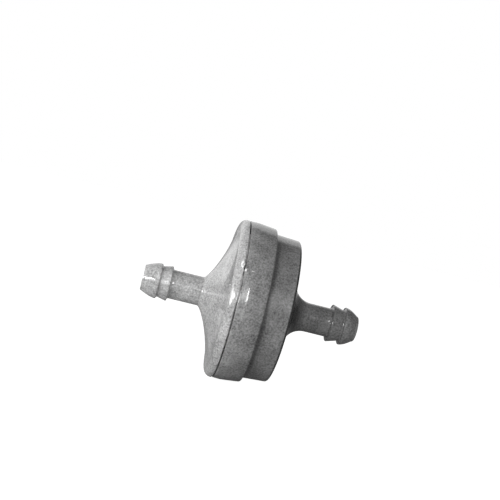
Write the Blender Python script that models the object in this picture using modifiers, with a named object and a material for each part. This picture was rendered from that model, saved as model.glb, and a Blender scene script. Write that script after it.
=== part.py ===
"""Inline fuel filter for 6.35 mm (1/4 in) fuel hose: a drum of two moulded halves with a barbed hose stem on each
side, and inside it a mesh screen on a spoked carrier, clamped where the halves meet.

The filter lies along X. Fuel enters at -X and leaves at +X. Each piece is made standing on end, with its Z along
the flow and zero at the seam between the halves. An empty then lays the filter down and puts the world's origin
half way between the two stem ends.
"""

import math

import bmesh
import bpy

MM = 0.001

# Drum: a wide socket band next to the seam, and a chamber band behind it that is lower by a step
SOCKET_RADIUS = 17.6 * MM
SOCKET_LENGTH = 6.3 * MM
SOCKET_DRAFT = 0.45 * MM
STEP_HEIGHT = 1.0 * MM
CHAMBER_LENGTH = 5.7 * MM
CHAMBER_DRAFT = 0.3 * MM
WALL = 1.5 * MM
RIM_ROUND = 0.35 * MM
CHAMBER_ROUND = 0.5 * MM

# Inlet face: a trumpet from the rim in to the stem
INLET_FACE_HEIGHT = 6.6 * MM
INLET_RIM_PULL = 6.2 * MM
INLET_ROOT_PULL = 0.95 * MM
INLET_RIM_SLOPE = math.radians(5.0)
RIM_LAND = 0.15 * MM
SHOULDER_ROUND = 1.6 * MM

# Outlet face: a shallow cone with a fillet into the stem
OUTLET_CONE_SLOPE = math.radians(9.5)
OUTLET_ROOT_FILLET = 4.4 * MM
OUTLET_THROAT = 1.2 * MM

# Hose stems
BORE_RADIUS = 2.0 * MM
STEM_RADIUS = 3.2 * MM
TIP_RADIUS = 2.9 * MM
TIP_ROUND = 0.4 * MM
BARB_EDGE = 0.1 * MM
BARB_VALLEY = 0.2 * MM
INLET_REACH = 19.5 * MM
INLET_BARB_RADIUS = 3.9 * MM
INLET_NOSE_LENGTH = 3.7 * MM
INLET_BARB_PITCH = 2.35 * MM
OUTLET_REACH = 28.8 * MM
OUTLET_BARB_RADIUS = 4.2 * MM
OUTLET_NOSE_LENGTH = 3.2 * MM
OUTLET_BARB_PITCH = 2.85 * MM

# Joint between the halves
FIT_GAP = 0.3 * MM
SPIGOT_WALL = 1.4 * MM

# Screen carrier: two rings and a hub joined by spokes
CARRIER_THICKNESS = 1.2 * MM
CARRIER_RING_WIDTH = 2.0 * MM
CARRIER_HUB_RADIUS = 3.0 * MM
CARRIER_HUB_BORE = 1.5 * MM
CARRIER_MIDDLE_WIDTH = 1.0 * MM
SPOKE_WIDTH = 1.1 * MM
SPOKE_COUNT = 6

# Mesh screen: the strands between its openings
SCREEN_THICKNESS = 0.4 * MM
SCREEN_MARGIN = 0.3 * MM
SCREEN_PITCH = 2.3 * MM
SCREEN_STRAND = 0.7 * MM

TURN_STEPS = 48
ARC_STEPS = 4
CURVE_STEPS = 12
WELD_DISTANCE = 0.00001
SHARP_ANGLE = math.radians(32.0)

# Radii and levels that follow from the sizes above
SOCKET_BORE = SOCKET_RADIUS - SOCKET_DRAFT - WALL
CHAMBER_RADIUS = SOCKET_RADIUS - SOCKET_DRAFT - STEP_HEIGHT
CHAMBER_BORE = CHAMBER_RADIUS - WALL
SPIGOT_RADIUS = SOCKET_BORE - FIT_GAP
SPIGOT_BORE = SPIGOT_RADIUS - SPIGOT_WALL
LEDGE = SOCKET_LENGTH - WALL
CARRIER_RADIUS = SOCKET_BORE - FIT_GAP
CARRIER_LEVEL = LEDGE - FIT_GAP - CARRIER_THICKNESS / 2
SCREEN_RADIUS = CARRIER_RADIUS - SCREEN_MARGIN
SCREEN_LEVEL = CARRIER_LEVEL - CARRIER_THICKNESS / 2 - FIT_GAP - SCREEN_THICKNESS / 2
SPIGOT_END = SCREEN_LEVEL - SCREEN_THICKNESS / 2 - FIT_GAP
OUTLET_EDGE = SOCKET_LENGTH + CHAMBER_LENGTH
MIDDLE = (OUTLET_REACH - INLET_REACH) / 2

HOUSING_COLOR = (0.23, 0.23, 0.23, 1.0)
CARRIER_COLOR = (0.60, 0.60, 0.58, 1.0)
SCREEN_COLOR = (0.80, 0.79, 0.74, 1.0)


def clear_scene():
    for item in list(bpy.data.objects):
        bpy.data.objects.remove(item, do_unlink=True)


def plastic(name, color, roughness):
    material = bpy.data.materials.new(name)
    material.use_nodes = True
    shader = material.node_tree.nodes["Principled BSDF"]
    shader.inputs["Base Color"].default_value = color
    shader.inputs["Roughness"].default_value = roughness
    shader.inputs["Metallic"].default_value = 0.0
    return material


def arc(center, radius, start, end, steps=ARC_STEPS):
    """Points on an arc about center, with angles counted from the first axis towards the second."""
    angles = [start + (end - start) * i / steps for i in range(steps + 1)]
    return [(center[0] + radius * math.cos(a), center[1] + radius * math.sin(a)) for a in angles]


def circle(radius, steps):
    return arc((0.0, 0.0), radius, 0.0, math.tau, steps)[:-1]


def cubic(a, b, c, d, steps):
    """Points on the cubic curve that leaves a towards b and comes to d from c."""
    points = []
    for i in range(steps + 1):
        t = i / steps
        weights = ((1 - t) ** 3, 3 * t * (1 - t) ** 2, 3 * t * t * (1 - t), t**3)
        points.append(tuple(sum(w * p[k] for w, p in zip(weights, (a, b, c, d))) for k in (0, 1)))
    return points


def barbed_stem(barb_radius, nose_length, barb_pitch):
    """The outside of a hose stem as (radius, distance from the tip): a rounded end, a bulging nose up to the first
    barb, a valley, and a straight taper up to the second barb."""
    swell = barb_radius - TIP_RADIUS
    nose = cubic(
        (TIP_RADIUS, TIP_ROUND),
        (TIP_RADIUS + swell * 0.5, TIP_ROUND + nose_length * 0.25),
        (barb_radius - swell * 0.05, nose_length * 0.7),
        (barb_radius, nose_length - BARB_EDGE),
        5,
    )
    second = nose_length + barb_pitch
    return [
        *arc((TIP_RADIUS - TIP_ROUND, TIP_ROUND), TIP_ROUND, -math.pi / 2, 0.0, 2),
        *nose[1:],
        (barb_radius - BARB_EDGE, nose_length),
        (STEM_RADIUS + BARB_VALLEY, nose_length + BARB_EDGE),
        (barb_radius, second - BARB_EDGE),
        (barb_radius - BARB_EDGE, second),
        (STEM_RADIUS, second + BARB_EDGE),
    ]


def trumpet(rim, root):
    """The curve that leaves the rim inwards at the rim's slope and comes to the root along the flow."""
    pull = (
        rim[0] - INLET_RIM_PULL * math.cos(INLET_RIM_SLOPE),
        rim[1] - INLET_RIM_PULL * math.sin(INLET_RIM_SLOPE),
    )
    return cubic(rim, pull, (root[0], root[1] + INLET_ROOT_PULL), root, CURVE_STEPS)


def inlet_profile():
    """Down the outside from the seam to the inlet's tip, and back up through the bore to the spigot."""
    shoulder_center = (SOCKET_RADIUS - SHOULDER_ROUND, -RIM_LAND)
    shoulder = arc(shoulder_center, SHOULDER_ROUND, 0.0, INLET_RIM_SLOPE - math.pi / 2)
    outer_face = trumpet(shoulder[-1], (STEM_RADIUS, -INLET_FACE_HEIGHT))
    inner_rim = (SPIGOT_BORE, shoulder[-1][1] + WALL)
    inner_face = trumpet(inner_rim, (BORE_RADIUS, WALL / 2 - INLET_FACE_HEIGHT))
    stem = barbed_stem(INLET_BARB_RADIUS, INLET_NOSE_LENGTH, INLET_BARB_PITCH)
    return [
        (SOCKET_RADIUS, 0.0),
        *shoulder,
        *outer_face[1:],
        *[(radius, distance - INLET_REACH) for radius, distance in reversed(stem)],
        (BORE_RADIUS, -INLET_REACH),
        *reversed(inner_face),
        (SPIGOT_BORE, SPIGOT_END),
        (SPIGOT_RADIUS, SPIGOT_END),
        (SPIGOT_RADIUS, 0.0),
    ]


def outlet_profile():
    """Down the outside from the outlet's tip to the seam, and back up through the socket, chamber and bore."""
    stem = barbed_stem(OUTLET_BARB_RADIUS, OUTLET_NOSE_LENGTH, OUTLET_BARB_PITCH)
    edge_radius = CHAMBER_RADIUS - CHAMBER_DRAFT
    corner = arc((edge_radius - CHAMBER_ROUND, OUTLET_EDGE - CHAMBER_ROUND), CHAMBER_ROUND, math.pi / 2, 0.0)
    rise = math.tan(OUTLET_CONE_SLOPE)
    fillet_radius = STEM_RADIUS + OUTLET_ROOT_FILLET
    cone_level = OUTLET_EDGE + (corner[0][0] - fillet_radius) * rise
    fillet_center = (fillet_radius, cone_level + OUTLET_ROOT_FILLET / math.cos(OUTLET_CONE_SLOPE))
    fillet = arc(fillet_center, OUTLET_ROOT_FILLET, math.pi, math.pi * 1.5 - OUTLET_CONE_SLOPE, 7)
    step_center = (SOCKET_RADIUS - SOCKET_DRAFT - RIM_ROUND, SOCKET_LENGTH - RIM_ROUND)
    inner_radius = edge_radius - WALL
    inner_edge = OUTLET_EDGE - WALL
    throat_radius = BORE_RADIUS + OUTLET_THROAT
    throat_level = inner_edge + (inner_radius - throat_radius) * rise
    return [
        *[(radius, OUTLET_REACH - distance) for radius, distance in stem],
        *fillet,
        *corner,
        (CHAMBER_RADIUS, SOCKET_LENGTH),
        *arc(step_center, RIM_ROUND, math.pi / 2, 0.0, 2),
        (SOCKET_RADIUS, FIT_GAP + RIM_ROUND / 2),
        (SOCKET_RADIUS - RIM_ROUND / 2, FIT_GAP),
        (SOCKET_BORE, FIT_GAP),
        (SOCKET_BORE, LEDGE),
        (CHAMBER_BORE, LEDGE),
        (inner_radius, inner_edge),
        (throat_radius, throat_level),
        (BORE_RADIUS, throat_level + OUTLET_THROAT),
        (BORE_RADIUS, OUTLET_REACH),
    ]


def window(inner, outer, middle_angle):
    """The opening between two rings and two spokes, as its corners and the arcs between them."""
    half_pitch = math.pi / SPOKE_COUNT
    outer_half = half_pitch - math.asin(SPOKE_WIDTH / 2 / outer)
    inner_half = half_pitch - math.asin(SPOKE_WIDTH / 2 / inner)
    far_side = arc((0.0, 0.0), outer, middle_angle - outer_half, middle_angle + outer_half, ARC_STEPS + 2)
    near_side = arc((0.0, 0.0), inner, middle_angle + inner_half, middle_angle - inner_half, ARC_STEPS)
    return far_side + near_side


def carrier_outlines():
    """The carrier's edge, its hub's bore, and two rows of windows with the middle ring between them."""
    ring_bore = CARRIER_RADIUS - CARRIER_RING_WIDTH
    middle_radius = (ring_bore + CARRIER_HUB_RADIUS) / 2
    rows = (
        (CARRIER_HUB_RADIUS, middle_radius - CARRIER_MIDDLE_WIDTH / 2),
        (middle_radius + CARRIER_MIDDLE_WIDTH / 2, ring_bore),
    )
    outlines = [circle(CARRIER_RADIUS, TURN_STEPS), circle(CARRIER_HUB_BORE, TURN_STEPS // 3)]
    for spoke in range(SPOKE_COUNT):
        middle_angle = math.tau * (spoke + 0.5) / SPOKE_COUNT
        outlines += [window(inner, outer, middle_angle) for inner, outer in rows]
    return outlines


def screen_outlines():
    """The screen's edge, and a square opening in each cell of the weave that lies inside the clamped rim."""
    clear_radius = SPIGOT_BORE - SCREEN_STRAND / 2
    half = (SCREEN_PITCH - SCREEN_STRAND) / 2
    reach = math.ceil(clear_radius / SCREEN_PITCH)
    outlines = [circle(SCREEN_RADIUS, TURN_STEPS)]
    for row in range(-reach, reach + 1):
        for column in range(-reach, reach + 1):
            x = column * SCREEN_PITCH
            y = row * SCREEN_PITCH
            if math.hypot(abs(x) + half, abs(y) + half) < clear_radius:
                corners = ((-half, -half), (half, -half), (half, half), (-half, half))
                outlines.append([(x + dx, y + dy) for dx, dy in corners])
    return outlines


def solid(name, guide, material, collection, parent):
    """The named piece, made from what the guide object evaluates to. The guide is removed."""
    bpy.context.scene.collection.objects.link(guide)
    graph = bpy.context.evaluated_depsgraph_get()
    mesh = bpy.data.meshes.new_from_object(guide.evaluated_get(graph))
    bpy.data.objects.remove(guide, do_unlink=True)
    mesh.name = name
    welded = bmesh.new()
    welded.from_mesh(mesh)
    bmesh.ops.remove_doubles(welded, verts=welded.verts, dist=WELD_DISTANCE)
    welded.to_mesh(mesh)
    welded.free()
    mesh.shade_smooth()
    mesh.set_sharp_from_angle(angle=SHARP_ANGLE)
    mesh.materials.clear()
    mesh.materials.append(material)
    piece = bpy.data.objects.new(name, mesh)
    collection.objects.link(piece)
    piece.parent = parent
    return piece


def turned(profile):
    """A guide that turns a closed profile of (radius, level) points about Z."""
    count = len(profile)
    mesh = bpy.data.meshes.new("profile")
    points = [(radius, 0.0, level) for radius, level in profile]
    mesh.from_pydata(points, [(i, (i + 1) % count) for i in range(count)], [])
    guide = bpy.data.objects.new("profile", mesh)
    turn = guide.modifiers.new("Turn", "SCREW")
    turn.axis = "Z"
    turn.angle = math.tau
    turn.steps = TURN_STEPS
    turn.render_steps = TURN_STEPS
    turn.use_merge_vertices = True
    turn.merge_threshold = WELD_DISTANCE
    return guide


def plate(outlines, thickness):
    """A guide for a flat plate: the first outline is its edge, and the others are the openings through it."""
    curve = bpy.data.curves.new("outline", "CURVE")
    curve.dimensions = "2D"
    curve.fill_mode = "BOTH"
    curve.extrude = thickness / 2
    for outline in outlines:
        spline = curve.splines.new("POLY")
        spline.points.add(len(outline) - 1)
        for point, (x, y) in zip(spline.points, outline):
            point.co = (x, y, 0.0, 1.0)
        spline.use_cyclic_u = True
    return bpy.data.objects.new("outline", curve)


def main():
    clear_scene()
    parts = bpy.data.collections.new("Inline fuel filter")
    bpy.context.scene.collection.children.link(parts)
    flow_axis = bpy.data.objects.new("flow_axis", None)
    flow_axis.location = (-MIDDLE, 0.0, 0.0)
    flow_axis.rotation_euler = (0.0, math.pi / 2, 0.0)
    parts.objects.link(flow_axis)

    housing_plastic = plastic("Housing plastic", HOUSING_COLOR, 0.35)
    carrier_plastic = plastic("Carrier plastic", CARRIER_COLOR, 0.45)
    screen_nylon = plastic("Screen nylon", SCREEN_COLOR, 0.6)

    solid("inlet_half", turned(inlet_profile()), housing_plastic, parts, flow_axis)
    solid("outlet_half", turned(outlet_profile()), housing_plastic, parts, flow_axis)
    carrier_guide = plate(carrier_outlines(), CARRIER_THICKNESS)
    carrier = solid("screen_carrier", carrier_guide, carrier_plastic, parts, flow_axis)
    carrier.location = (0.0, 0.0, CARRIER_LEVEL)
    screen_guide = plate(screen_outlines(), SCREEN_THICKNESS)
    screen = solid("filter_screen", screen_guide, screen_nylon, parts, flow_axis)
    screen.location = (0.0, 0.0, SCREEN_LEVEL)


main()
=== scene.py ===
"""Looks of the inline fuel filter: two moulded grey halves with barbed hose stems, a welded seam between
them, and a mesh screen on its carrier inside, over a floor that is white to the camera, lit by six lamps.

The filter lies along X, with the inlet at -X. Sizes along the filter are counted from the seam between the
halves, positive towards the outlet. Angles round the filter are counted from the side that faces the camera,
positive towards the top of the picture.

The lamps, the surroundings, the greys and the tones along the filter were matched to one photograph. The
tones along the filter are painted shade and sheen.
"""

import math

import bmesh
import bpy
import numpy as np
from bpy.props import FloatProperty, FloatVectorProperty, IntProperty, PointerProperty
from mathutils import Matrix, Vector


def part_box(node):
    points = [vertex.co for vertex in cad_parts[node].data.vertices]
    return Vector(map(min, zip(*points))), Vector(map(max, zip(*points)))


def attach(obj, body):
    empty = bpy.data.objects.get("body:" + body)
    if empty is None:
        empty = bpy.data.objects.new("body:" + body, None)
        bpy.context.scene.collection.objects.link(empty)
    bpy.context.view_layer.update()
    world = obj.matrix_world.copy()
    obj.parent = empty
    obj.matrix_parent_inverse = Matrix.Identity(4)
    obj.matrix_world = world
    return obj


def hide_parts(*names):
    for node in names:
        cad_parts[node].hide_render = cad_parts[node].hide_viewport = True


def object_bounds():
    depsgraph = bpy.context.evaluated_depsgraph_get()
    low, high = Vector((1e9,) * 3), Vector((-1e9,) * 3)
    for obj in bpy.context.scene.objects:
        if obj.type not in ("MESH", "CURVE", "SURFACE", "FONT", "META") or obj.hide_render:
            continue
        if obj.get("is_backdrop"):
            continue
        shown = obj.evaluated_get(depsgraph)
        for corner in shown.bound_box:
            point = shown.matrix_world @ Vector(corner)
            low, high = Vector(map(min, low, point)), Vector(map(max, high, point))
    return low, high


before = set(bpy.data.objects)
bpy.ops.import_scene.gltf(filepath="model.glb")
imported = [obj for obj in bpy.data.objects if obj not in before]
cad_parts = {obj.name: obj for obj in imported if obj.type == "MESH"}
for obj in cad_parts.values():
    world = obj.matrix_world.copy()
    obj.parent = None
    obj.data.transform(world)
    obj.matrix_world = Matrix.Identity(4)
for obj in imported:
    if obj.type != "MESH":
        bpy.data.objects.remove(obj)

bl_info = {
    "name": "Inline Fuel Filter",
    "version": (1, 0, 0),
    "blender": (4, 5, 0),
    "location": "View3D > Sidebar > Fuel Filter",
    "description": "Builds the dressed fuel filter and its studio stage on the packed solids",
    "category": "Object",
}

MM = 0.001


def length(name, description, default):
    return FloatProperty(
        name=name, description=description, default=default, min=0.0, unit="LENGTH", precision=5
    )


def slope(name, description, degrees):
    return FloatProperty(name=name, description=description, default=math.radians(degrees), subtype="ANGLE")


def colour(name, description, default):
    return FloatVectorProperty(
        name=name, description=description, default=default, min=0.0, max=1.0, size=3, subtype="COLOR"
    )


def amount(name, description, default, high=1.0):
    return FloatProperty(name=name, description=description, default=default, min=0.0, max=high)


class FilterShape(bpy.types.PropertyGroup):
    """Sizes of the two halves and of the joint between them"""

    edge_round: length("Edge round", "Rounding of the crisp moulded edges", 0.16 * MM)
    wall: length("Wall", "Wall thickness of the drum", 1.5 * MM)
    fit_gap: length("Fit gap", "Clearance between the halves at the seam", 0.3 * MM)
    spigot_wall: length("Spigot wall", "Thickness of the spigot inside the socket", 1.4 * MM)
    socket_length: length("Socket length", "Length of the wide band", 6.3 * MM)
    socket_draft: length("Socket draft", "How much the wide band narrows towards its step", 0.45 * MM)
    ridge_place: length("Ridge place", "Distance from the seam to the mould's parting ridge", 2.1 * MM)
    ridge_drop: length("Ridge drop", "How much the wide band narrows from the ridge to the seam", 0.08 * MM)
    rim_round: length("Rim round", "Rounding of the wide band's edge at the step", 0.35 * MM)
    step_height: length("Step height", "Step from the wide band down to the chamber band", 1.0 * MM)
    chamber_length: length("Chamber length", "Length of the chamber band", 5.7 * MM)
    chamber_draft: length("Chamber draft", "How much the chamber band narrows towards its end", 0.3 * MM)
    chamber_round: length("Chamber round", "Rounding where the chamber band meets the outlet face", 0.5 * MM)
    rim_land: length("Rim land", "Straight stretch between the seam and the shoulder", 0.15 * MM)
    shoulder_round: length("Shoulder round", "Rounding from the rim into the inlet face", 1.6 * MM)
    face_height: length("Face height", "Distance from the seam to the foot of the inlet stem", 6.6 * MM)
    rim_pull: length("Rim pull", "How far the inlet face's curve follows the rim's slope", 6.2 * MM)
    root_pull: length("Root pull", "How far the inlet face's curve follows the stem", 0.95 * MM)
    rim_slope: slope("Rim slope", "Slope of the inlet face at its rim", 5.0)
    cone_slope: slope("Cone slope", "Slope of the outlet face", 9.5)
    root_fillet: length("Root fillet", "Fillet from the outlet face into its stem", 4.4 * MM)
    throat: length("Throat", "Flare inside, from the chamber into the outlet's bore", 1.2 * MM)
    bore_radius: length("Bore radius", "Radius of the fuel way through both stems", 2.0 * MM)
    stem_radius: length("Stem radius", "Radius of the plain stretch of both stems", 3.2 * MM)
    tip_radius: length("Tip radius", "Radius of both stems at their ends", 2.9 * MM)
    tip_round: length("Tip round", "Rounding of the stem's end", 0.4 * MM)
    barb_valley: length("Barb valley", "Height above the stem behind the first barb", 0.2 * MM)
    inlet_barb: length("Inlet barb radius", "Radius of the inlet's barbs", 3.9 * MM)
    inlet_nose: length("Inlet nose", "Distance from the inlet's end to its first barb", 3.7 * MM)
    inlet_pitch: length("Inlet pitch", "Distance between the inlet's barbs", 2.35 * MM)
    outlet_barb: length("Outlet barb radius", "Radius of the outlet's barbs", 4.2 * MM)
    outlet_nose: length("Outlet nose", "Distance from the outlet's end to its first barb", 3.2 * MM)
    outlet_pitch: length("Outlet pitch", "Distance between the outlet's barbs", 2.85 * MM)
    spacing: length("Spacing", "Longest edge of the surfaces along the filter", 0.3 * MM)
    turns: IntProperty(name="Turns", description="Steps round the filter", default=192, min=48, max=256)


class FilterFinish(bpy.types.PropertyGroup):
    """Colours and surface of the plastics"""

    inlet_colour: colour("Inlet half", "Colour of the inlet half", (0.48, 0.48, 0.48))
    outlet_colour: colour("Outlet half", "Colour of the outlet half", (0.275, 0.275, 0.275))
    weld_colour: colour("Weld", "Colour of the weld bead", (0.40, 0.40, 0.40))
    # the drops of flash are real, and their near-white colour is a painted highlight
    flash_highlight_colour: colour("Flash", "Colour of the plastic squeezed out of the weld", (0.97, 0.97, 0.97))
    carrier_colour: colour("Carrier", "Colour of the screen carrier", (0.60, 0.60, 0.58))
    screen_colour: colour("Screen", "Colour of the mesh screen", (0.80, 0.79, 0.74))
    gloss: amount("Roughness", "Roughness of the moulded surface", 0.14)
    mottling: amount("Mottling", "How much the plastic's grey varies", 1.1, 2.0)
    grain: amount("Grain", "Strength of the fine moulded texture", 0.12)


class FilterStage(bpy.types.PropertyGroup):
    """Camera, lamps and floor"""

    tilt: slope("Tilt", "How far the filter's axis falls to the right in the picture", 14.1)
    turn: slope("Turn", "How far the inlet end is turned towards the camera", 5.4)
    elevation: slope("Elevation", "Height of the camera above the level of the filter", 3.0)
    distance: length("Distance", "From the camera to the middle of the seam, along the view", 223.0 * MM)
    shift_right: length("Shift right", "From the seam's middle to the picture's, rightwards", 4.5 * MM)
    shift_up: length("Shift up", "From the seam's middle to the picture's, upwards", 10.58 * MM)
    lens: FloatProperty(name="Lens", description="Focal length in millimetres", default=73.3, min=1.0)
    lamp_level: amount("Lamp level", "Common factor on all lamps", 1.0, 10.0)
    world_level: amount("World level", "Brightness of the surroundings", 0.20, 10.0)
    floor_colour: colour("Floor", "Colour of the floor", (0.55, 0.55, 0.55))
    floor_glow: amount("Floor glow", "Light that the floor adds for the camera, where 1 is white", 0.97)
    floor_size: length("Floor size", "Half the width of the floor", 1.2)


# depth of the moulded hollows, and cuts at the parting ridge and at the inside corners of the chamber
SINK_DEPTH = 0.02 * MM
RIDGE_CUT = 0.3 * MM
CHAMBER_CUT = 0.4 * MM

# the weld bead: how far its top lies under the drum at least, how far its foot stands off the spigot, its
# clearance to each half, the power that squares its section, and the section's points and first angle
BEAD_DROP = 0.01 * MM
BEAD_FOOT = 0.5 * MM
BEAD_CLEARANCE = 0.02 * MM
BEAD_POWER = 0.34
BEAD_STEPS = 16
BEAD_START = 0.2

# how deep the bead lies: angle above the camera's side in degrees, depth in millimetres
BEAD_DEPTHS = (
    (-180.0, 0.40),
    (-70.0, 0.40),
    (-55.0, 0.80),
    (-15.0, 0.90),
    (-5.0, 0.50),
    (4.0, 0.03),
    (19.5, 0.03),
    (20.2, 0.70),
    (22.5, 0.70),
    (23.2, 0.05),
    (24.5, 0.05),
    (25.2, 1.20),
    (27.5, 1.20),
    (28.2, 0.10),
    (56.0, 0.12),
    (62.0, 1.30),
    (180.0, 1.30),
)

# drops of flash beside the weld: distance from the seam, angle above the camera's side in degrees, then half
# the length along the filter, half the length round it and the height, in millimetres
FLASH = (
    (-0.28, 28.2, 0.42, 0.90, 0.34),
    (0.52, 24.4, 0.26, 0.34, 0.22),
    (2.05, 24.5, 0.45, 0.10, 0.10),
)

# how deep a drop's middle lies under the drum, and the rings and steps of its surface
FLASH_DEPTH = 0.03 * MM
FLASH_RINGS = 11
FLASH_STEPS = 24

# factor on the plastic's colour by distance from the seam in millimetres, matched to the photograph.
# The low ones are painted shade: dark lines at the step and at the drum's end, and the shadow at the outlet
# stem's root. The high ones beside the seam are a painted sheen
PAINTED_SHADE_AND_SHEEN = (
    (-20.0, 1.02),
    (-7.0, 0.98),
    (-5.5, 0.90),
    (-1.5, 0.88),
    (0.3, 1.26),
    (2.2, 1.12),
    (4.5, 0.95),
    (6.0, 0.86),
    (6.3, 0.48),
    (6.8, 0.48),
    (7.4, 0.80),
    (11.5, 0.88),
    (11.65, 0.14),
    (12.03, 0.14),
    (12.15, 0.80),
    (12.9, 0.55),
    (13.6, 0.20),
    (14.6, 0.20),
    (17.0, 1.00),
    (30.0, 0.90),
)

# refraction of the plastics, and how much their roughness follows the mottling's cloud
PLASTIC_IOR = 1.7
UNEVEN_GLOSS = 0.3

# noise scales of the mottling and of the fine moulded texture, and the texture's height
SPECKLE_SCALE = 2600.0
CLOUD_SCALE = 240.0
FINE_SCALE = 4200.0
BROAD_SCALE = 900.0
GRAIN_HEIGHT = 0.02 * MM

# roughness of the weld, the flash, the carrier and the screen, and mottling and grain of the last two
WELD_ROUGHNESS = 0.3
FLASH_ROUGHNESS = 0.25
CARRIER_LOOK = (0.45, 0.06, 0.1)
SCREEN_LOOK = (0.6, 0.08, 0.3)

# lamps: name, place along the filter, up the picture and towards the camera in metres, width, height, watts
LAMPS = (
    ("Side", -0.362, 0.02, 0.164, 0.26, 0.10, 0.90),
    ("Corner", -0.250, 0.045, 0.310, 0.14, 0.05, 0.40),
    ("Front", -0.15, 0.01, 0.371, 0.20, 0.12, 0.12),
    ("Shoulder streak", -0.394, 0.024, -0.04, 0.010, 0.06, 0.06),
    ("Ridge streak", 0.038, 0.08, 0.372, 0.020, 0.12, 0.24),
    ("Horizon streak", -0.082, -0.0035, -0.0985, 0.08, 0.004, 0.026),
)

# what reflections see, as levels by direction: upwards and backwards from -1 to 1, sideways from 0 to 1
SEEN_UPWARDS = ((0.64, 1.0), (0.73, 0.1))
SEEN_SIDEWAYS = ((0.375, 1.0), (0.405, 0.1), (0.50, 0.1), (0.53, 1.0))
SEEN_OVER = ((0.12, 0.0), (0.2, 1.0))
SEEN_RIGHT = ((0.65, 1.0), (0.75, 0.1))
SEEN_BEHIND = ((0.1, 0.15), (0.35, 1.0))

# lines of the floor's grid each way, the camera's sensor in millimetres, and what it sees in metres
FLOOR_LINES = 9
SENSOR_WIDTH = 36.0
CLIP_RANGE = (0.01, 10.0)


def settings():
    scene = bpy.context.scene
    return scene.filter_shape, scene.filter_finish, scene.filter_stage


def seam_place():
    """Where the seam lies on X: the outlet half starts a fit gap behind it."""
    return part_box("outlet_half")[0][0] - bpy.context.scene.filter_shape.fit_gap


def drum_radius():
    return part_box("inlet_half")[1][2]


def camera_axes():
    """The filter's axis, the picture's direction across it, and the direction towards the camera, square to
    the axis, as three unit vectors."""
    elevation = bpy.context.scene.filter_stage.elevation
    towards = Vector((0.0, -math.cos(elevation), math.sin(elevation)))
    across = Vector((0.0, math.sin(elevation), math.cos(elevation)))
    return Vector((1.0, 0.0, 0.0)), across, towards


def arc(center, radius, start, end, count=7):
    """Points (x, r) on an arc: the center plus radius times the cosine and sine of evenly spaced angles."""
    angles = np.linspace(start, end, count)
    return np.stack([center[0] + radius * np.cos(angles), center[1] + radius * np.sin(angles)], axis=1)


def cubic(a, b, c, d, count=25):
    """Points on the cubic curve that leaves a towards b and comes to d from c."""
    t = np.linspace(0.0, 1.0, count)[:, None]
    points = [np.asarray(p, dtype=float)[None, :] for p in (a, b, c, d)]
    weights = ((1 - t) ** 3, 3 * t * (1 - t) ** 2, 3 * t * t * (1 - t), t**3)
    return sum(w * p for w, p in zip(weights, points))


def loop_of(*runs):
    """A closed profile from runs of (points, cut), where cut is how much is rounded off at each corner."""
    points = np.concatenate([np.atleast_2d(np.asarray(run, dtype=float)) for run, _ in runs])
    cuts = np.concatenate([np.full(len(np.atleast_2d(run)), float(cut)) for run, cut in runs])
    return points, cuts


def rounded(points, cuts, steps=4):
    """The closed profile with its corners rounded off.

    At each corner P the curve leaves the side before it at A and joins the side after it at B, both a cut
    away from P, on the quadratic curve (1-t)^2 A + 2t(1-t) P + t^2 B. A cut takes at most 45% of a side.
    """
    before = np.roll(points, 1, axis=0) - points
    after = np.roll(points, -1, axis=0) - points
    length_before = np.linalg.norm(before, axis=1)
    length_after = np.linalg.norm(after, axis=1)
    cut = np.minimum(cuts, 0.45 * np.minimum(length_before, length_after))[:, None]
    a = points + before / length_before[:, None] * cut
    b = points + after / length_after[:, None] * cut
    t = np.linspace(0.0, 1.0, steps + 1)[None, :, None]
    curves = (1 - t) ** 2 * a[:, None] + 2 * t * (1 - t) * points[:, None] + t**2 * b[:, None]
    line = curves.reshape(-1, 2)
    apart = np.linalg.norm(line - np.roll(line, 1, axis=0), axis=1)
    return line[apart > 1e-7]


def resampled(points, spacing):
    """The closed profile with each side longer than the spacing cut into equal shorter ones."""
    side = np.roll(points, -1, axis=0) - points
    counts = np.maximum(1, np.ceil(np.linalg.norm(side, axis=1) / spacing)).astype(int)
    index = np.repeat(np.arange(len(points)), counts)
    first = np.repeat(np.cumsum(counts) - counts, counts)
    share = (np.arange(counts.sum()) - first) / counts[index]
    return points[index] + side[index] * share[:, None]


def barbed_stem(shape, barb, nose, pitch):
    """The outside of a stem as runs of (distance from its end, radius) and the cut at their corners: a
    rounded end, a bulging nose up to the first barb, a valley, and a straight taper to the second barb."""
    swell = barb - shape.tip_radius
    start = (shape.tip_round, shape.tip_radius)
    bulge = cubic(
        start,
        (shape.tip_round + nose * 0.25, shape.tip_radius + swell * 0.5),
        (nose * 0.7, barb - swell * 0.05),
        (nose - shape.edge_round, barb),
        12,
    )
    valley = shape.stem_radius + shape.barb_valley
    second = nose + pitch
    edge = shape.edge_round
    end_middle = (shape.tip_round, shape.tip_radius - shape.tip_round)
    return [
        (arc(end_middle, shape.tip_round, math.pi, math.pi / 2), 0.0),
        (bulge[1:-1], 0.0),
        ([(nose, barb)], edge),
        ([(nose + edge, valley)], edge * 1.5),
        ([(second, barb)], edge),
        ([(second + edge, shape.stem_radius)], edge * 2.0),
    ]


def trumpet(shape, rim, root):
    """The curve that leaves the rim inwards at the rim's slope and comes to the root along the axis."""
    pull = (
        rim[0] - shape.rim_pull * math.sin(shape.rim_slope),
        rim[1] - shape.rim_pull * math.cos(shape.rim_slope),
    )
    return cubic(rim, pull, (root[0] + shape.root_pull, root[1]), root, 40)


def joint_radii(shape):
    """Radii of the socket's bore, and of the spigot outside and inside."""
    socket_bore = drum_radius() - shape.socket_draft - shape.wall
    spigot = socket_bore - shape.fit_gap
    return socket_bore, spigot, spigot - shape.spigot_wall


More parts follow.
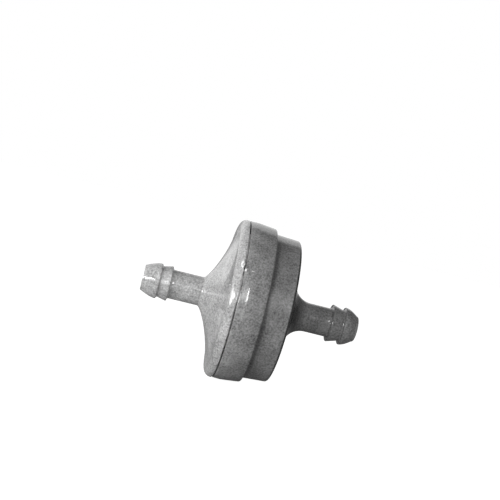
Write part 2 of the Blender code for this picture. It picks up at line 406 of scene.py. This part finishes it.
def inlet_profile(shape):
    """The inlet half's closed profile, as (x from the seam, r): the seam's face, the rim and shoulder, the
    trumpet-shaped face, the barbed stem, the bore, and the inside back to the spigot."""
    radius = drum_radius()
    reach = seam_place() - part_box("inlet_half")[0][0]
    spigot_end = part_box("inlet_half")[1][0] - seam_place()
    _, spigot, spigot_bore = joint_radii(shape)
    shoulder = arc(
        (-shape.rim_land, radius - shape.shoulder_round),
        shape.shoulder_round,
        math.pi / 2,
        math.pi - shape.rim_slope,
        14,
    )
    outer_face = trumpet(shape, shoulder[-1], (-shape.face_height, shape.stem_radius))
    inner_rim = (shoulder[-1][0] + shape.wall, spigot_bore)
    inner_face = trumpet(shape, inner_rim, (shape.wall / 2 - shape.face_height, shape.bore_radius))
    stem = barbed_stem(shape, shape.inlet_barb, shape.inlet_nose, shape.inlet_pitch)
    stem_runs = [(np.asarray(run)[::-1] - (reach, 0.0), cut) for run, cut in reversed(stem)]
    return loop_of(
        ([(0.0, spigot)], 0.0),
        ([(0.0, radius)], shape.edge_round),
        (shoulder, 0.0),
        (outer_face[1:], 0.0),
        *stem_runs,
        ([(-reach, shape.bore_radius)], shape.edge_round * 1.5),
        (inner_face[::-1], 0.0),
        ([(spigot_end, spigot_bore), (spigot_end, spigot)], shape.edge_round),
    )


def outlet_profile(shape):
    """The outlet half's closed profile, as (x from the seam, r): the barbed stem, the fillet and cone of the
    outlet face, the chamber band, the step, the wide band with its parting ridge, the socket, the inside."""
    radius = drum_radius()
    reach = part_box("outlet_half")[1][0] - seam_place()
    socket_bore, _, _ = joint_radii(shape)
    socket_end = radius - shape.socket_draft
    chamber = socket_end - shape.step_height
    edge = chamber - shape.chamber_draft
    end = shape.socket_length + shape.chamber_length
    corner_middle = (end - shape.chamber_round, edge - shape.chamber_round)
    corner = arc(corner_middle, shape.chamber_round, 0.0, math.pi / 2)
    rise = math.tan(shape.cone_slope)
    foot = shape.stem_radius + shape.root_fillet
    cone = end + (corner[0][1] - foot) * rise
    middle = (cone + shape.root_fillet / math.cos(shape.cone_slope), foot)
    fillet = arc(middle, shape.root_fillet, -math.pi / 2, -math.pi + shape.cone_slope, 16)
    inner = edge - shape.wall
    inner_end = end - shape.wall
    ledge = shape.socket_length - shape.wall
    throat = shape.bore_radius + shape.throat
    throat_end = inner_end + (inner - throat) * rise
    stem = barbed_stem(shape, shape.outlet_barb, shape.outlet_nose, shape.outlet_pitch)
    stem_runs = [(np.asarray(run) * (-1.0, 1.0) + (reach, 0.0), cut) for run, cut in stem]
    socket = [(shape.fit_gap, socket_bore), (ledge, socket_bore), (ledge, chamber - shape.wall)]
    inside = [(inner_end, inner), (throat_end, throat), (throat_end + shape.throat, shape.bore_radius)]
    return loop_of(
        *stem_runs,
        (fillet, 0.0),
        (corner, 0.0),
        ([(shape.socket_length, chamber)], shape.edge_round),
        ([(shape.socket_length, socket_end)], shape.rim_round),
        ([(shape.ridge_place, radius)], RIDGE_CUT),
        ([(shape.fit_gap, radius - shape.ridge_drop)], shape.edge_round * 1.5),
        (socket, shape.edge_round),
        (inside, CHAMBER_CUT),
        ([(reach, shape.bore_radius)], shape.edge_round * 1.5),
    )


def moulded_sink(x, angle):
    """How far a moulded wall lies under its true radius, from zero to the sink depth: half of that depth,
    plus 0.3 and 0.2 of it times sines of twice and three times the angle, each shifted in step with x."""
    two = np.sin(2.0 * angle + 90.0 * x)
    three = np.sin(3.0 * angle - 150.0 * x + 1.3)
    return SINK_DEPTH * (0.5 + 0.3 * two + 0.2 * three)


def turned_mesh(name, profile, turns):
    """A closed mesh of the profile turned about X.

    Point (i, j) is at x of profile point i, and at its radius less the sink, turned by j of the equal steps:
    y = r cos(angle), z = r sin(angle). Each grid cell is one face, and both directions of the grid close on
    themselves.
    """
    angle = np.linspace(0.0, math.tau, turns, endpoint=False)[None, :]
    x = np.repeat(profile[:, :1], turns, axis=1)
    radius = profile[:, 1:] - moulded_sink(profile[:, :1], angle)
    points = np.stack([x + seam_place(), radius * np.cos(angle), radius * np.sin(angle)], axis=2)
    return grid_mesh(name, points)


def grid_mesh(name, points):
    """A mesh, faces outward, from a grid of points whose rows and columns both close on themselves."""
    rows, columns = points.shape[:2]
    index = np.arange(rows * columns).reshape(rows, columns)
    next_row = np.roll(index, -1, axis=0)
    next_column = np.roll(index, -1, axis=1)
    across = np.roll(next_row, -1, axis=1)
    quads = np.stack([index, next_row, across, next_column], axis=2).reshape(-1, 4)
    flat = points.reshape(-1, 3)
    corners = flat[quads]
    normals = np.cross(corners[:, 2] - corners[:, 0], corners[:, 3] - corners[:, 1])
    if np.einsum("ij,ij->", corners.mean(axis=1) - flat.mean(axis=0), normals) < 0.0:
        quads = quads[:, ::-1]
    mesh = bpy.data.meshes.new(name)
    mesh.vertices.add(len(flat))
    mesh.vertices.foreach_set("co", flat.astype(np.float32).ravel())
    mesh.loops.add(quads.size)
    mesh.loops.foreach_set("vertex_index", quads.astype(np.int32).ravel())
    mesh.polygons.add(len(quads))
    mesh.polygons.foreach_set("loop_start", np.arange(0, quads.size, 4, dtype=np.int32))
    mesh.update(calc_edges=True)
    mesh.validate()
    mesh.shade_smooth()
    return mesh


def piece(name, mesh, material, slot, *nodes):
    """The named object for a mesh, riding on the frame and standing for the given nodes."""
    if name in bpy.data.objects:
        bpy.data.objects.remove(bpy.data.objects[name], do_unlink=True)
    made = bpy.data.objects.new(name, mesh)
    bpy.context.scene.collection.objects.link(made)
    mesh.materials.append(material)
    if nodes:
        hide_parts(*nodes)
    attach(made, "root")


def add_group(name, inputs, outputs):
    """A new node group with named inputs and outputs, and its two end nodes."""
    group = bpy.data.node_groups.new(name, "ShaderNodeTree")
    for label, kind, default in inputs:
        socket = group.interface.new_socket(label, in_out="INPUT", socket_type=kind)
        if default is not None:
            socket.default_value = default
    for label, kind in outputs:
        group.interface.new_socket(label, in_out="OUTPUT", socket_type=kind)
    start = group.nodes.new("NodeGroupInput")
    end = group.nodes.new("NodeGroupOutput")
    return group, start, end


def math_node(tree, operation, first, second=None, clamp=False):
    """A math node on values or links; returns its output."""
    node = tree.nodes.new("ShaderNodeMath")
    node.operation = operation
    node.use_clamp = clamp
    for slot, value in zip(node.inputs, (first, second)):
        if value is None:
            continue
        if isinstance(value, (int, float)):
            slot.default_value = value
        else:
            tree.links.new(value, slot)
    return node.outputs[0]


def ramp(tree, value, stops, smooth=False):
    """The level read off straight or smooth lines between stops (value, level), for values from 0 to 1."""
    node = tree.nodes.new("ShaderNodeValToRGB")
    node.color_ramp.interpolation = "EASE" if smooth else "LINEAR"
    steps = node.color_ramp.elements
    for number, (place, level) in enumerate(stops):
        step = steps[number] if number < 2 else steps.new(place)
        step.position = place
        step.color = (level, level, level, 1.0)
    tree.links.new(value, node.inputs["Fac"])
    return node.outputs["Color"]


def noise(tree, vector, scale, detail, roughness=0.5):
    node = tree.nodes.new("ShaderNodeTexNoise")
    node.inputs["Scale"].default_value = scale
    node.inputs["Detail"].default_value = detail
    node.inputs["Roughness"].default_value = roughness
    tree.links.new(vector, node.inputs["Vector"])
    return node.outputs["Fac"]


def mottling_group():
    """Plastic that isn't quite even: colour times one plus the strength times a speckle and a slow cloud."""
    name = "Moulded mottling"
    if name in bpy.data.node_groups:
        return bpy.data.node_groups[name]
    group, start, end = add_group(
        name,
        [
            ("Vector", "NodeSocketVector", None),
            ("Color", "NodeSocketColor", (0.5, 0.5, 0.5, 1.0)),
            ("Strength", "NodeSocketFloat", 0.1),
        ],
        [("Color", "NodeSocketColor"), ("Cloud", "NodeSocketFloat")],
    )
    vector = start.outputs["Vector"]
    speckle = noise(group, vector, SPECKLE_SCALE, 2.0, 0.65)
    cloud = noise(group, vector, CLOUD_SCALE, 2.0)
    speckle_part = math_node(group, "MULTIPLY", math_node(group, "SUBTRACT", speckle, 0.5), 2.0)
    cloud_part = math_node(group, "SUBTRACT", cloud, 0.5)
    mixed = math_node(group, "ADD", speckle_part, cloud_part)
    factor = math_node(group, "ADD", math_node(group, "MULTIPLY", mixed, start.outputs["Strength"]), 1.0)
    scale = group.nodes.new("ShaderNodeVectorMath")
    scale.operation = "SCALE"
    group.links.new(start.outputs["Color"], scale.inputs[0])
    group.links.new(factor, scale.inputs["Scale"])
    group.links.new(scale.outputs[0], end.inputs["Color"])
    group.links.new(cloud, end.inputs["Cloud"])
    return group


def grain_group():
    """The normal of a fine moulded texture, from two sizes of noise."""
    name = "Moulded grain"
    if name in bpy.data.node_groups:
        return bpy.data.node_groups[name]
    group, start, end = add_group(
        name,
        [("Vector", "NodeSocketVector", None), ("Strength", "NodeSocketFloat", 0.1)],
        [("Normal", "NodeSocketVector")],
    )
    vector = start.outputs["Vector"]
    fine = noise(group, vector, FINE_SCALE, 2.0)
    broad = noise(group, vector, BROAD_SCALE, 1.0)
    height = math_node(group, "ADD", fine, broad)
    bump = group.nodes.new("ShaderNodeBump")
    bump.inputs["Distance"].default_value = GRAIN_HEIGHT
    group.links.new(height, bump.inputs["Height"])
    group.links.new(start.outputs["Strength"], bump.inputs["Strength"])
    group.links.new(bump.outputs["Normal"], end.inputs["Normal"])
    return group


def painted_shade_group():
    """Plastic whose grey changes along the filter: colour times a factor read off the table of painted shade
    and sheen by distance from the seam. It is a match to the photograph: it paints shade, dark lines of
    shade and a sheen beside the seam into the colour."""
    name = "Tone along the filter"
    if name in bpy.data.node_groups:
        return bpy.data.node_groups[name]
    group, start, end = add_group(
        name,
        [("Vector", "NodeSocketVector", None), ("Color", "NodeSocketColor", (0.5, 0.5, 0.5, 1.0))],
        [("Color", "NodeSocketColor")],
    )
    low, high = PAINTED_SHADE_AND_SHEEN[0][0], PAINTED_SHADE_AND_SHEEN[-1][0]
    apart = group.nodes.new("ShaderNodeSeparateXYZ")
    group.links.new(start.outputs["Vector"], apart.inputs[0])
    share = group.nodes.new("ShaderNodeMapRange")
    share.inputs["From Min"].default_value = seam_place() + low * MM
    share.inputs["From Max"].default_value = seam_place() + high * MM
    group.links.new(apart.outputs["X"], share.inputs["Value"])
    stops = [((at - low) / (high - low), shade_and_sheen / 2.0) for at, shade_and_sheen in PAINTED_SHADE_AND_SHEEN]
    factor = math_node(group, "MULTIPLY", ramp(group, share.outputs[0], stops), 2.0)
    scale = group.nodes.new("ShaderNodeVectorMath")
    scale.operation = "SCALE"
    group.links.new(start.outputs["Color"], scale.inputs[0])
    group.links.new(factor, scale.inputs["Scale"])
    group.links.new(scale.outputs[0], end.inputs["Color"])
    return group


def use_group(tree, group):
    node = tree.nodes.new("ShaderNodeGroup")
    node.node_tree = group
    return node


def plastic(name, rgb, roughness, mottling, grain, with_painted_shade=False):
    """A moulded plastic with mottled colour, uneven gloss and fine grain. With painted shade on, its grey
    also changes along the filter with painted shade and sheen."""
    material = bpy.data.materials.get(name) or bpy.data.materials.new(name)
    material.use_nodes = True
    tree = material.node_tree
    tree.nodes.clear()
    output = tree.nodes.new("ShaderNodeOutputMaterial")
    shader = tree.nodes.new("ShaderNodeBsdfPrincipled")
    shader.inputs["IOR"].default_value = PLASTIC_IOR
    shader.inputs["Metallic"].default_value = 0.0
    tree.links.new(shader.outputs[0], output.inputs["Surface"])
    place = tree.nodes.new("ShaderNodeTexCoord").outputs["Object"]

    mottled = use_group(tree, mottling_group())
    mottled.inputs["Color"].default_value = (*rgb, 1.0)
    mottled.inputs["Strength"].default_value = mottling
    tree.links.new(place, mottled.inputs["Vector"])
    # painted shade and sheen along the filter, multiplied into the colour
    if with_painted_shade:
        shade_and_sheen = use_group(tree, painted_shade_group())
        tree.links.new(place, shade_and_sheen.inputs["Vector"])
        tree.links.new(mottled.outputs["Color"], shade_and_sheen.inputs["Color"])
        tree.links.new(shade_and_sheen.outputs["Color"], shader.inputs["Base Color"])
    else:
        tree.links.new(mottled.outputs["Color"], shader.inputs["Base Color"])

    cloud = math_node(tree, "SUBTRACT", mottled.outputs["Cloud"], 0.5)
    uneven = math_node(tree, "MULTIPLY", cloud, UNEVEN_GLOSS)
    tree.links.new(math_node(tree, "ADD", uneven, roughness, clamp=True), shader.inputs["Roughness"])

    grained = use_group(tree, grain_group())
    grained.inputs["Strength"].default_value = grain
    tree.links.new(place, grained.inputs["Vector"])
    tree.links.new(grained.outputs["Normal"], shader.inputs["Normal"])
    return material


def lamp(name, place, aim, width, height, power):
    """A rectangular lamp at a place, turned to the aim."""
    if name in bpy.data.objects:
        bpy.data.objects.remove(bpy.data.objects[name], do_unlink=True)
    data = bpy.data.lights.new(name, "AREA")
    data.shape = "RECTANGLE"
    data.size = width
    data.size_y = height
    data.energy = power
    made = bpy.data.objects.new(name, data)
    made.location = place
    made.visible_camera = False
    made.rotation_mode = "QUATERNION"
    made.rotation_quaternion = (place - aim).to_track_quat("Z", "Y")
    bpy.context.scene.collection.objects.link(made)


def build_world(stage):
    """Surroundings that are white to the camera. Reflections see white bands, whose edges are the SEEN
    stops, and everything else sees a plain grey at the world level."""
    world = bpy.data.worlds.new("Studio")
    world.use_nodes = True
    bpy.context.scene.world = world
    tree = world.node_tree
    tree.nodes.clear()
    output = tree.nodes.new("ShaderNodeOutputWorld")
    white = tree.nodes.new("ShaderNodeBackground")
    white.inputs["Color"].default_value = (1.0, 1.0, 1.0, 1.0)
    white.inputs["Strength"].default_value = 1.0
    soft = tree.nodes.new("ShaderNodeBackground")
    soft.inputs["Strength"].default_value = stage.world_level
    path = tree.nodes.new("ShaderNodeLightPath")
    direction = tree.nodes.new("ShaderNodeSeparateXYZ")
    tree.links.new(tree.nodes.new("ShaderNodeTexCoord").outputs["Generated"], direction.inputs[0])
    height = ramp(tree, direction.outputs["Z"], SEEN_UPWARDS, True)
    place = math_node(tree, "MULTIPLY", math_node(tree, "ADD", direction.outputs["X"], 1.0), 0.5)
    width = ramp(tree, place, SEEN_SIDEWAYS, True)
    over = ramp(tree, direction.outputs["Z"], SEEN_OVER, True)
    right = ramp(tree, place, SEEN_RIGHT, True)
    behind = ramp(tree, direction.outputs["Y"], SEEN_BEHIND, True)
    lit = math_node(tree, "MULTIPLY", math_node(tree, "MAXIMUM", width, over), height)
    lit = math_node(tree, "MULTIPLY", math_node(tree, "MULTIPLY", lit, right), behind)
    backdrop = math_node(tree, "MULTIPLY", path.outputs["Is Glossy Ray"], lit)
    seen = math_node(tree, "MAXIMUM", path.outputs["Is Camera Ray"], backdrop)
    mix = tree.nodes.new("ShaderNodeMixShader")
    tree.links.new(seen, mix.inputs["Fac"])
    tree.links.new(soft.outputs[0], mix.inputs[1])
    tree.links.new(white.outputs[0], mix.inputs[2])
    tree.links.new(mix.outputs[0], output.inputs["Surface"])


def floor_material(stage):
    """A mid-grey floor that glows for the camera alone, so it looks white there and still shows a shadow."""
    material = bpy.data.materials.new("White floor")
    material.use_nodes = True
    tree = material.node_tree
    tree.nodes.clear()
    output = tree.nodes.new("ShaderNodeOutputMaterial")
    plain = tree.nodes.new("ShaderNodeBsdfDiffuse")
    plain.inputs["Color"].default_value = (*stage.floor_colour, 1.0)
    glow = tree.nodes.new("ShaderNodeEmission")
    path = tree.nodes.new("ShaderNodeLightPath")
    strength = math_node(tree, "MULTIPLY", path.outputs["Is Camera Ray"], stage.floor_glow)
    tree.links.new(strength, glow.inputs["Strength"])
    both = tree.nodes.new("ShaderNodeAddShader")
    tree.links.new(plain.outputs[0], both.inputs[0])
    tree.links.new(glow.outputs[0], both.inputs[1])
    tree.links.new(both.outputs[0], output.inputs["Surface"])
    return material


def build_floor(stage):
    """A flat floor under the filter, as a grid of faces that reaches the floor size to each side."""
    side = np.linspace(-stage.floor_size, stage.floor_size, FLOOR_LINES)
    x, y = np.meshgrid(side, side, indexing="ij")
    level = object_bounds()[0][2]
    points = np.stack([x, y, np.full_like(x, level)], axis=2).reshape(-1, 3)
    index = np.arange(FLOOR_LINES**2).reshape(FLOOR_LINES, FLOOR_LINES)
    quads = np.stack([index[:-1, :-1], index[1:, :-1], index[1:, 1:], index[:-1, 1:]], axis=2)
    mesh = bpy.data.meshes.new("floor")
    mesh.from_pydata(points.tolist(), [], quads.reshape(-1, 4).tolist())
    mesh.materials.append(floor_material(stage))
    floor = bpy.data.objects.new("floor", mesh)
    bpy.context.scene.collection.objects.link(floor)
    floor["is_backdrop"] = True


def build_camera(stage):
    """The photograph's camera: the filter's axis falls to the right by the tilt, its inlet end is turned
    towards the camera by the turn, and the middle of the seam is at its measured place in the picture."""
    axis, across, towards = camera_axes()
    back = -math.sin(stage.turn) * axis + math.cos(stage.turn) * towards
    along = math.cos(stage.turn) * axis + math.sin(stage.turn) * towards
    right = math.cos(stage.tilt) * along + math.sin(stage.tilt) * across
    up = -math.sin(stage.tilt) * along + math.cos(stage.tilt) * across
    seam = Vector((seam_place(), 0.0, 0.0))
    data = bpy.data.cameras.new("Camera")
    data.lens = stage.lens
    data.sensor_width = SENSOR_WIDTH
    data.clip_start, data.clip_end = CLIP_RANGE
    camera = bpy.data.objects.new("Camera", data)
    turn = Matrix((right, up, back)).transposed().to_4x4()
    place = seam + stage.shift_right * right + stage.shift_up * up + stage.distance * back
    camera.matrix_world = Matrix.Translation(place) @ turn
    bpy.context.scene.collection.objects.link(camera)
    bpy.context.scene.camera = camera


class FUELFILTER_OT_inlet_half(bpy.types.Operator):
    """Builds the inlet half in place of its solid"""

    bl_idname = "fuel_filter.inlet_half"
    bl_label = "Build Inlet Half"

    def execute(self, context):
        shape, finish, _ = settings()
        profile = resampled(rounded(*inlet_profile(shape)), shape.spacing)
        mesh = turned_mesh("inlet_shell", profile, shape.turns)
        look = (finish.gloss, finish.mottling, finish.grain)
        # the inlet half's colour carries painted shade and sheen along the filter
        material = plastic("Inlet plastic, painted shade and sheen", finish.inlet_colour, *look, with_painted_shade=True)
        piece("inlet_shell", mesh, material, "housing", "inlet_half")
        return {"FINISHED"}


class FUELFILTER_OT_outlet_half(bpy.types.Operator):
    """Builds the outlet half in place of its solid"""

    bl_idname = "fuel_filter.outlet_half"
    bl_label = "Build Outlet Half"

    def execute(self, context):
        shape, finish, _ = settings()
        profile = resampled(rounded(*outlet_profile(shape)), shape.spacing)
        mesh = turned_mesh("outlet_shell", profile, shape.turns)
        look = (finish.gloss, finish.mottling, finish.grain)
        # the outlet half's colour carries painted shade and sheen along the filter
        material = plastic("Outlet plastic, painted shade and sheen", finish.outlet_colour, *look, with_painted_shade=True)
        piece("outlet_shell", mesh, material, "housing", "outlet_half")
        return {"FINISHED"}


def picture_angle(angle):
    """The angle from the camera's side, positive towards the top of the picture, from the angle about X."""
    turned = math.pi - bpy.context.scene.filter_stage.elevation - angle
    return (turned + math.pi) % math.tau - math.pi


def bead_sink(angle):
    """How far the weld bead lies under the drum's surface, in millimetres: the depth read off BEAD_DEPTHS,
    times 0.55 plus 0.45 of an unevenness made of two sines with 41 and 67 waves round the filter."""
    place = np.degrees(picture_angle(angle))
    knots, depth = zip(*BEAD_DEPTHS)
    uneven = 0.5 + 0.3 * np.sin(41.0 * angle) + 0.2 * np.sin(67.0 * angle + 1.0)
    return np.interp(place, knots, depth) * (0.55 + 0.45 * uneven)


def bead_mesh(shape):
    """The weld bead in the gap between the halves, a closed ring.

    Point (i, j) lies on a rounded box across the gap: x is the gap's middle plus half its width, less the
    clearance, times the cosine of angle i raised to the bead's power. The radius is the middle height plus
    half the height times its sine raised alike, signs kept. The top follows the drum less the bead's sink
    at angle j.
    """
    _, spigot, _ = joint_radii(shape)
    around = np.linspace(0.0, math.tau, shape.turns * 2, endpoint=False)[None, :]
    across = np.linspace(0.0, math.tau, BEAD_STEPS, endpoint=False)[:, None] + BEAD_START
    top = drum_radius() - BEAD_DROP - bead_sink(around) * MM
    foot = spigot + BEAD_FOOT
    box_x = np.sign(np.cos(across)) * np.abs(np.cos(across)) ** BEAD_POWER
    box_r = np.sign(np.sin(across)) * np.abs(np.sin(across)) ** BEAD_POWER
    half_gap = shape.fit_gap / 2
    x = seam_place() + half_gap + (half_gap - BEAD_CLEARANCE) * box_x + np.zeros_like(around)
    radius = (top + foot) / 2 + (top - foot) / 2 * box_r
    points = np.stack([x, radius * np.cos(around), radius * np.sin(around)], axis=2)
    return grid_mesh("weld_bead", points)


def flash_mesh():
    """Drops of plastic squeezed out of the weld, each a squashed ball half sunk in the drum.

    Point (i, j) of a drop is its middle plus its three half sizes, along the filter, round it and outwards,
    times the ball's x, y and z at i from pole to pole and j round it. The drops are one mesh.
    """
    polar = np.linspace(0.0, math.pi, FLASH_RINGS + 2)[1:-1, None]
    around = np.linspace(0.0, math.tau, FLASH_STEPS, endpoint=False)[None, :]
    grid = np.arange(FLASH_RINGS * FLASH_STEPS).reshape(FLASH_RINGS, FLASH_STEPS)
    turned_on = np.roll(grid, -1, axis=1)
    pole = np.full(FLASH_STEPS, grid.size)
    patches = (
        np.stack([grid[:-1], grid[1:], turned_on[1:], turned_on[:-1]], axis=2).reshape(-1, 4),
        np.stack([pole, grid[0], turned_on[0]], axis=1),
        np.stack([pole + 1, turned_on[-1], grid[-1]], axis=1),
    )
    height_of = np.cos(polar) + np.zeros_like(around)
    ball = np.stack([np.sin(polar) * np.cos(around), np.sin(polar) * np.sin(around), height_of])
    ball = np.concatenate([ball.reshape(3, -1).T, [[0.0, 0.0, 1.0], [0.0, 0.0, -1.0]]])
    points, faces = [], []
    for number, (x, angle, half_x, half_round, height) in enumerate(FLASH):
        radius = drum_radius() - FLASH_DEPTH + ball[:, 2] * height * MM
        turned = math.radians(angle) + ball[:, 1] * half_round * MM / drum_radius()
        turned = math.pi - bpy.context.scene.filter_stage.elevation - turned
        along = seam_place() + (x + ball[:, 0] * half_x) * MM
        points.append(np.stack([along, radius * np.cos(turned), radius * np.sin(turned)], axis=1))
        for patch in patches:
            faces += (patch + number * len(ball)).tolist()
    mesh = bpy.data.meshes.new("weld_flash")
    mesh.from_pydata(np.concatenate(points).tolist(), [], faces)
    mesh.update(calc_edges=True)
    shaped = bmesh.new()
    shaped.from_mesh(mesh)
    bmesh.ops.recalc_face_normals(shaped, faces=shaped.faces)
    shaped.to_mesh(mesh)
    shaped.free()
    mesh.shade_smooth()
    return mesh


class FUELFILTER_OT_weld(bpy.types.Operator):
    """Builds the weld bead in the seam and the flash beside it"""

    bl_idname = "fuel_filter.weld"
    bl_label = "Build Weld"

    def execute(self, context):
        shape, finish, _ = settings()
        material = plastic("Weld plastic", finish.weld_colour, WELD_ROUGHNESS, finish.mottling, finish.grain)
        piece("weld_bead", bead_mesh(shape), material, "housing")
        # real drops of flash, coloured near white as a painted highlight
        painted_highlight = plastic("Flash plastic, painted highlight", finish.flash_highlight_colour, FLASH_ROUGHNESS, finish.mottling, finish.grain)
        piece("weld_flash", flash_mesh(), painted_highlight, "housing")
        return {"FINISHED"}


class FUELFILTER_OT_inner_parts(bpy.types.Operator):
    """Gives the screen and its carrier their plastics"""

    bl_idname = "fuel_filter.inner_parts"
    bl_label = "Finish Inner Parts"

    def execute(self, context):
        _, finish, _ = settings()
        carrier = plastic("Carrier plastic", finish.carrier_colour, *CARRIER_LOOK)
        screen = plastic("Screen nylon", finish.screen_colour, *SCREEN_LOOK)
        for node, material in (("screen_carrier", carrier), ("filter_screen", screen)):
            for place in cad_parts[node].material_slots:
                place.material = material
        return {"FINISHED"}


class FUELFILTER_OT_stage(bpy.types.Operator):
    """Builds the camera, the floor, the lamps and the surroundings"""

    bl_idname = "fuel_filter.stage"
    bl_label = "Build Stage"

    def execute(self, context):
        _, _, stage = settings()
        build_camera(stage)
        build_floor(stage)
        build_world(stage)
        axis, across, towards = camera_axes()
        aim = Vector((0.0, 0.0, 0.0))
        for name, along, up, near, width, height, power in LAMPS:
            place = along * axis + up * across + near * towards
            lamp(name, place, aim, width, height, power * stage.lamp_level)
        context.scene.view_settings.view_transform = "Standard"
        return {"FINISHED"}


class FUELFILTER_PT_panel(bpy.types.Panel):
    """Buttons and settings of the fuel filter"""

    bl_label = "Fuel Filter"
    bl_space_type = "VIEW_3D"
    bl_region_type = "UI"
    bl_category = "Fuel Filter"

    def draw(self, context):
        layout = self.layout
        for operator in OPERATORS:
            layout.operator(operator.bl_idname)
        for group in settings():
            box = layout.box()
            for name in group.bl_rna.properties.keys():
                if name not in ("rna_type", "name"):
                    box.prop(group, name)


GROUPS = (FilterShape, FilterFinish, FilterStage)
OPERATORS = (
    FUELFILTER_OT_inlet_half,
    FUELFILTER_OT_outlet_half,
    FUELFILTER_OT_weld,
    FUELFILTER_OT_inner_parts,
    FUELFILTER_OT_stage,
)
CLASSES = (*GROUPS, *OPERATORS, FUELFILTER_PT_panel)


def register():
    for item in CLASSES:
        bpy.utils.register_class(item)
    bpy.types.Scene.filter_shape = PointerProperty(type=FilterShape)
    bpy.types.Scene.filter_finish = PointerProperty(type=FilterFinish)
    bpy.types.Scene.filter_stage = PointerProperty(type=FilterStage)


def unregister():
    del bpy.types.Scene.filter_stage
    del bpy.types.Scene.filter_finish
    del bpy.types.Scene.filter_shape
    for item in reversed(CLASSES):
        bpy.utils.unregister_class(item)


def main():
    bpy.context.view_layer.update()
    register()
    bpy.ops.fuel_filter.inlet_half()
    bpy.ops.fuel_filter.outlet_half()
    bpy.ops.fuel_filter.weld()
    bpy.ops.fuel_filter.inner_parts()
    bpy.ops.fuel_filter.stage()


if __name__ == "__main__":
    main()
